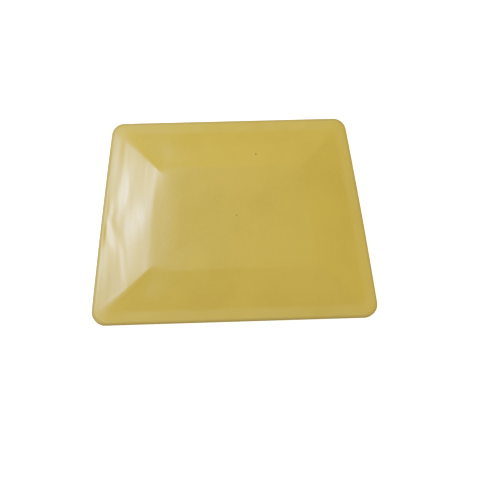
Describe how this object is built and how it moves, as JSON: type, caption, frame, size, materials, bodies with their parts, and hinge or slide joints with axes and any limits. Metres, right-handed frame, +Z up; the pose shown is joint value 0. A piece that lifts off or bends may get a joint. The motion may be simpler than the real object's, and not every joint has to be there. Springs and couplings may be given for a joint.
{
  "type": "raised pavement marker",
  "caption": "Low non-reflective road marker: tapered four-sided moulded shell with stepped bevels and a flat top, filled with sanded resin and closed by a grit-faced base.",
  "frame": {"origin": "centre of the resting face, under the middle of the marker's box", "axes": "+X along the wide side, +Y from the wide side to the narrow side, +Z up out of the road"},
  "size_m": [0.1016, 0.0732, 0.0083],
  "materials": {
    "yellow_plastic": "satin moulded plastic, dull yellow, lightly rubbed",
    "sanded_resin": "cast resin with sand filler, matt",
    "glass_fibre": "woven glass-fibre mat wetted with resin",
    "bonded_grit": "coarse sand bonded in resin, rough"
  },
  "bodies": {
    "root": {"top_shell": "yellow_plastic", "potting_fill": "sanded_resin", "glass_mat": "glass_fibre", "grit_coat": "bonded_grit"}
  },
  "joints": []
}
